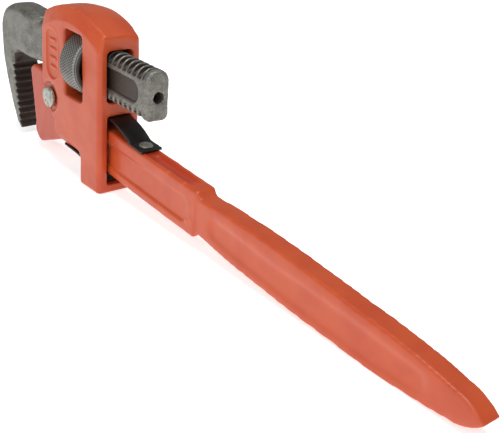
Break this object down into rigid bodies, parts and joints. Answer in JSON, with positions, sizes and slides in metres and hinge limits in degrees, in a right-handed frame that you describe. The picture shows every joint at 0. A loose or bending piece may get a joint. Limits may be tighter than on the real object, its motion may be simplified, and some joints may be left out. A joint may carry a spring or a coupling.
{
  "type": "pipe wrench",
  "caption": "Stillson-pattern pipe wrench with an adjustable toothed hook jaw, a knurled nut in a pivoting housing, leaf springs and a straight forged handle.",
  "frame": {"origin": "middle of the wrench's footprint, on the surface that it stands on, with the jaws set 18 mm apart", "axes": "+X from the jaws to the handle's tip along the hook jaw's shank, +Y along the pivot pin, +Z from the handle up to the arch of the housing"},
  "size_m": [0.4099, 0.0378, 0.1053],
  "materials": {
    "paint": "satin orange-red enamel over forged steel",
    "forged_steel": "hardened, scale-grey forged steel",
    "knurled_steel": "diamond knurl, dull",
    "plated_steel": "dull plated",
    "spring_steel": "blued spring steel"
  },
  "bodies": {
    "handle": {"handle_bar": "paint", "upper_leaf_spring": "spring_steel", "lower_leaf_spring": "spring_steel", "upper_spring_rivet": "plated_steel", "lower_spring_rivet": "plated_steel"},
    "housing": {"housing_frame": "paint", "pivot_pin": "plated_steel"},
    "hook": {"hook_jaw": "forged_steel"},
    "nut": {"adjusting_nut": "knurled_steel"}
  },
  "joints": [
    {"name": "housing_pivot", "type": "hinge", "parent": "handle", "child": "housing", "pos_m": [-0.13075, 0, 0.0436], "axis": [0, 1, 0], "range_deg": [-2, 1.5], "stiffness_Nm_per_rad": 100, "deforming": ["upper_leaf_spring", "lower_leaf_spring"]},
    {"name": "jaw_slide", "type": "slide", "parent": "housing", "child": "hook", "axis": [-1, 0, 0], "range_m": [-0.0155, 0.04]},
    {"name": "nut_spin", "type": "hinge", "parent": "housing", "child": "nut", "pos_m": [-0.1006, 0, 0.0719], "axis": [1, 0, 0], "range_deg": [-1117, 2881]}
  ],
  "couplings": [
    {"joint": "nut_spin", "follows": "jaw_slide", "rad_per_m": 1256.6}
  ]
}
